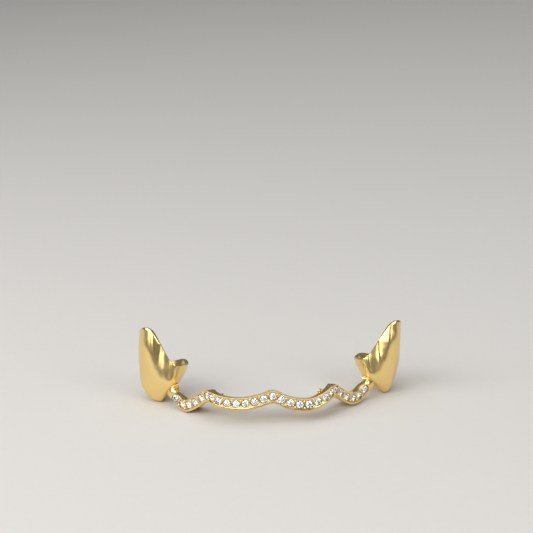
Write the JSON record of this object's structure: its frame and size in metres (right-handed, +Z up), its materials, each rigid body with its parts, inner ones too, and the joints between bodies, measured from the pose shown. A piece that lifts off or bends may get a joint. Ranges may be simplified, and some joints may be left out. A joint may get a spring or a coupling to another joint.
{
  "type": "fang cap grillz",
  "caption": "Gold grillz with two fang caps for the canines, joined by a scalloped bar along the biting edges that is set with a row of round white stones.",
  "frame": {"origin": "on the surface it rests on, below the middle of the bounding box", "axes": "+X to the viewer's right as the front is seen, +Y into the mouth, +Z up, away from the biting edges"},
  "size_m": [0.0404, 0.0158, 0.0115],
  "materials": {
    "gold": "polished",
    "stone": "cut and polished"
  },
  "bodies": {
    "root": {"casting": "gold", "stone_01": "stone", "stone_02": "stone", "stone_03": "stone", "stone_04": "stone", "stone_05": "stone", "stone_06": "stone", "stone_07": "stone", "stone_08": "stone", "stone_09": "stone", "stone_10": "stone", "stone_11": "stone", "stone_12": "stone", "stone_13": "stone", "stone_14": "stone", "stone_15": "stone", "stone_16": "stone", "stone_17": "stone", "stone_18": "stone", "stone_19": "stone", "stone_20": "stone", "stone_21": "stone", "stone_22": "stone", "stone_23": "stone", "stone_24": "stone", "stone_25": "stone", "stone_26": "stone", "stone_27": "stone"}
  },
  "joints": []
}
